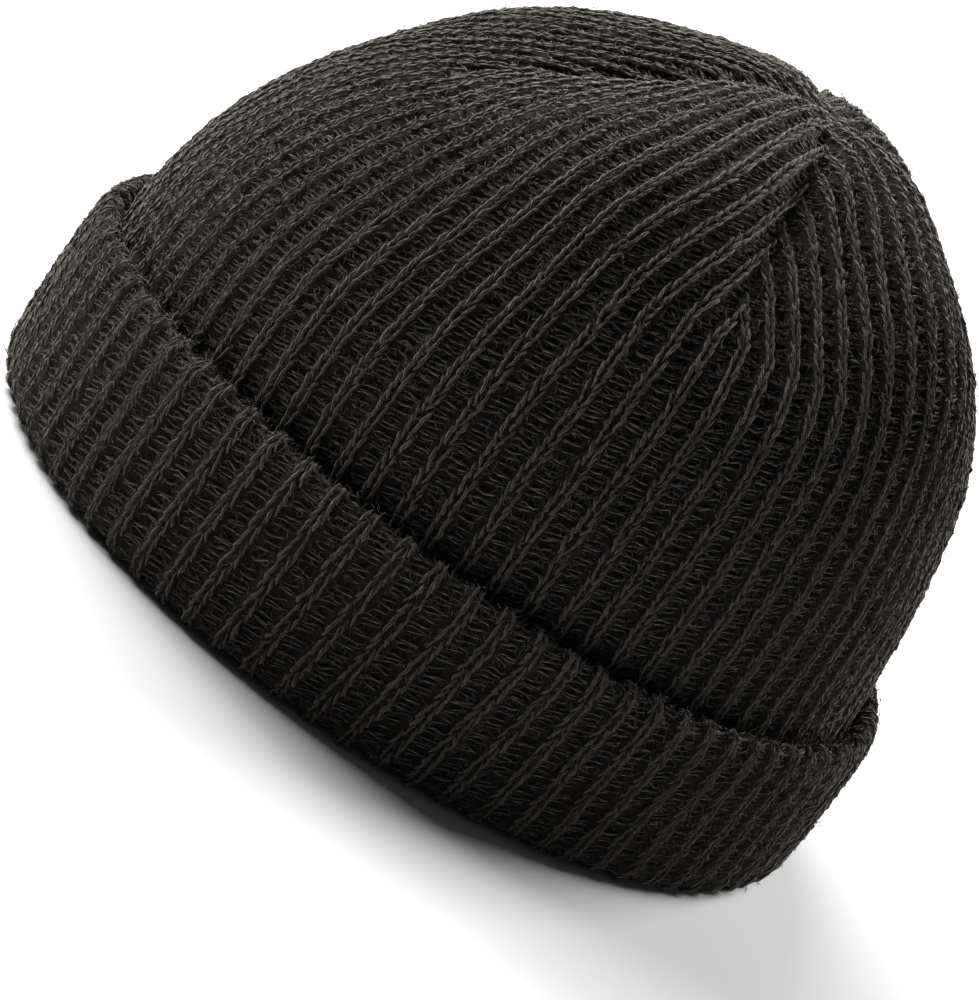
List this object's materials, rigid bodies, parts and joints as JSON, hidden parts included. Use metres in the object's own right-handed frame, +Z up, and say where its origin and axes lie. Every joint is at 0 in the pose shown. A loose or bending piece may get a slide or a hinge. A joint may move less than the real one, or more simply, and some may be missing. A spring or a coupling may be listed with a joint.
{
  "type": "knit hat",
  "caption": "Soft ribbed knit hat with a gathered four-gore crown and a turned-up cuff, worn on the head for warmth.",
  "frame": {"origin": "centre of the rim on the surface that the hat rests on", "axes": "+Z up through the crown, -Y towards the forehead, +X towards the wearer's left"},
  "size_m": [0.2002, 0.213, 0.1496],
  "materials": {
    "wool_knit": "matte"
  },
  "bodies": {
    "root": {"crown": "wool_knit", "cuff": "wool_knit"}
  },
  "joints": []
}
